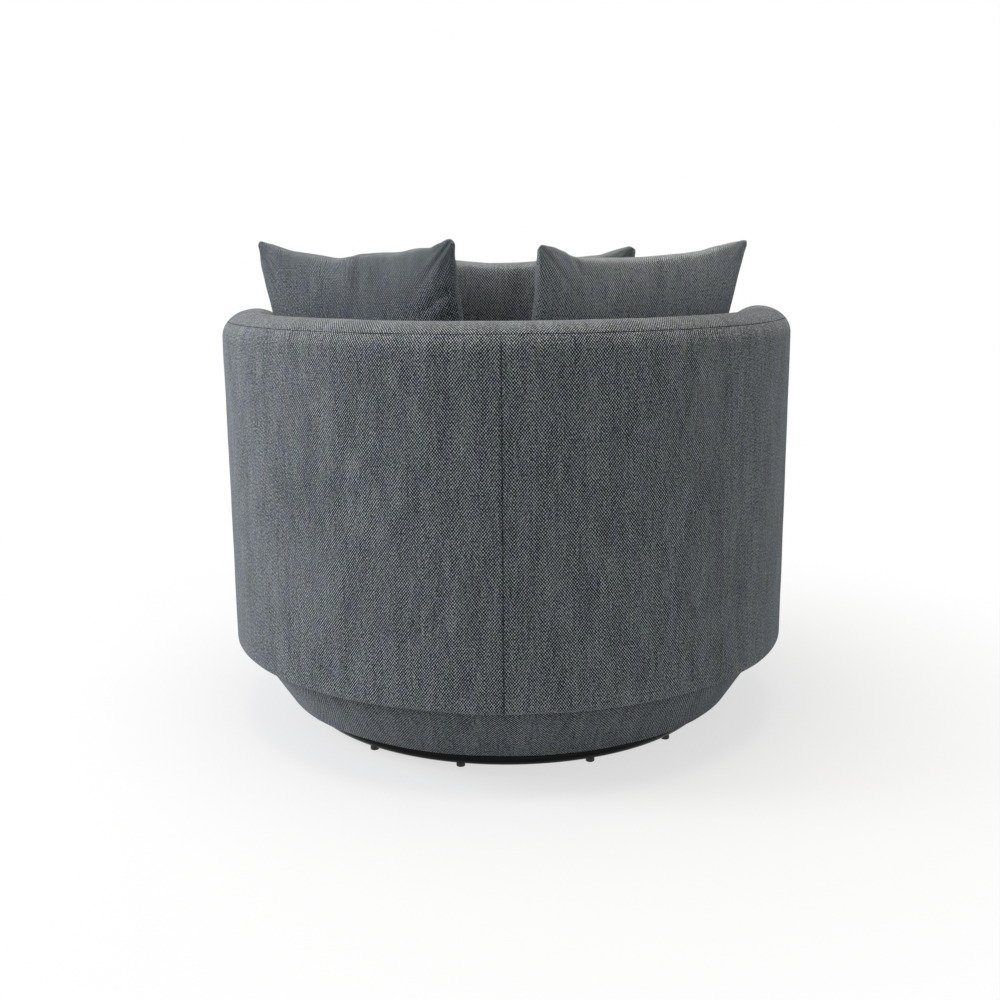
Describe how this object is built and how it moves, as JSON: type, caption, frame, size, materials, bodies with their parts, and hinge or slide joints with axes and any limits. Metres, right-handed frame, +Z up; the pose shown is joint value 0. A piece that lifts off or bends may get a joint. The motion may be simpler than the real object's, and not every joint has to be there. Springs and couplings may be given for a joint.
{
  "type": "cuddle chair",
  "caption": "Round swivel tub loveseat in herringbone fabric, with a loose seat cushion and scatter pillows on a recessed plinth and steel ring base.",
  "frame": {"origin": "on the floor, on the swivel axis in the middle of the base", "axes": "+Z up; the seat faces -Y and the middle of the back is at +Y; +X is the left-hand side seen from behind"},
  "size_m": [1.0996, 1.1, 0.9233],
  "materials": {
    "woven_fabric": "matt woven chenille, herringbone pattern",
    "foam": "open cell foam",
    "fibre_filling": "soft fibre wadding",
    "fibreboard": "smooth pressed board",
    "plywood": "sanded, unfinished",
    "black_gloss_steel": "gloss black powder coat",
    "zinc_plated_steel": "bright zinc plate",
    "spring_steel": "drawn wire, satin",
    "black_nylon": "moulded, satin",
    "black_cloth": "non-woven cloth",
    "zip_tape": "woven tape with moulded teeth"
  },
  "bodies": {
    "base": {"base_frame": "black_gloss_steel", "swivel_lower_race": "zinc_plated_steel", "floor_glide_01": "black_nylon", "floor_glide_02": "black_nylon", "floor_glide_03": "black_nylon", "floor_glide_04": "black_nylon", "floor_glide_05": "black_nylon", "floor_glide_06": "black_nylon", "floor_glide_07": "black_nylon", "floor_glide_08": "black_nylon", "floor_glide_09": "black_nylon", "floor_glide_10": "black_nylon", "floor_glide_11": "black_nylon", "floor_glide_12": "black_nylon"},
    "ball_cage": {"swivel_ball_cage": "zinc_plated_steel"},
    "tub": {"outer_cover_left": "woven_fabric", "outer_cover_right": "woven_fabric", "top_band_cover": "woven_fabric", "inner_cover": "woven_fabric", "arm_front_left": "woven_fabric", "arm_front_right": "woven_fabric", "front_cover": "woven_fabric", "top_roll_foam": "foam", "inner_foam": "foam", "outer_panel": "fibreboard", "top_rail": "plywood", "wall_rib_1": "plywood", "wall_rib_2": "plywood", "wall_rib_3": "plywood", "wall_rib_4": "plywood", "wall_rib_5": "plywood", "wall_rib_6": "plywood", "tub_base_board": "plywood", "seat_ring": "plywood", "front_rail": "plywood", "seat_spring_1": "spring_steel", "seat_spring_2": "spring_steel", "seat_spring_3": "spring_steel", "seat_spring_4": "spring_steel", "seat_spring_5": "spring_steel", "seat_deck_cloth": "black_cloth", "plinth_frame": "plywood", "plinth_hoop": "fibreboard", "plinth_cover": "woven_fabric", "dust_cover": "black_cloth", "swivel_cross": "plywood", "swivel_upper_plate": "zinc_plated_steel", "swivel_bolt_1": "zinc_plated_steel", "swivel_bolt_2": "zinc_plated_steel", "swivel_bolt_3": "zinc_plated_steel", "swivel_bolt_4": "zinc_plated_steel"},
    "seat_cushion": {"seat_cushion_cover": "woven_fabric", "seat_cushion_core": "foam", "seat_cushion_zip": "zip_tape"},
    "pillow_left": {"pillow_left_cover": "woven_fabric", "pillow_left_insert": "fibre_filling"},
    "pillow_right": {"pillow_right_cover": "woven_fabric", "pillow_right_insert": "fibre_filling"},
    "pillow_front": {"pillow_front_cover": "woven_fabric", "pillow_front_insert": "fibre_filling"}
  },
  "joints": [
    {"name": "swivel", "type": "hinge", "parent": "base", "child": "tub", "pos_m": [0, 0, 0.042], "axis": [0, 0, 1], "continuous": true},
    {"name": "ball_cage_turn", "type": "hinge", "parent": "base", "child": "ball_cage", "pos_m": [0, 0, 0.0385], "axis": [0, 0, 1], "continuous": true},
    {"name": "seat_cushion_lift", "type": "slide", "parent": "tub", "child": "seat_cushion", "axis": [0, 0, 1], "range_m": [0, 0.35]},
    {"name": "pillow_left_lift", "type": "slide", "parent": "seat_cushion", "child": "pillow_left", "axis": [0.1888, 0.2233, 0.9563], "range_m": [0, 0.45]},
    {"name": "pillow_right_lift", "type": "slide", "parent": "seat_cushion", "child": "pillow_right", "axis": [-0.1671, 0.2411, 0.956], "range_m": [0, 0.45]},
    {"name": "pillow_front_lift", "type": "slide", "parent": "seat_cushion", "child": "pillow_front", "axis": [0, 0, 1], "range_m": [0, 0.45]}
  ],
  "couplings": [
    {"joint": "ball_cage_turn", "follows": "swivel", "ratio": 0.5}
  ]
}
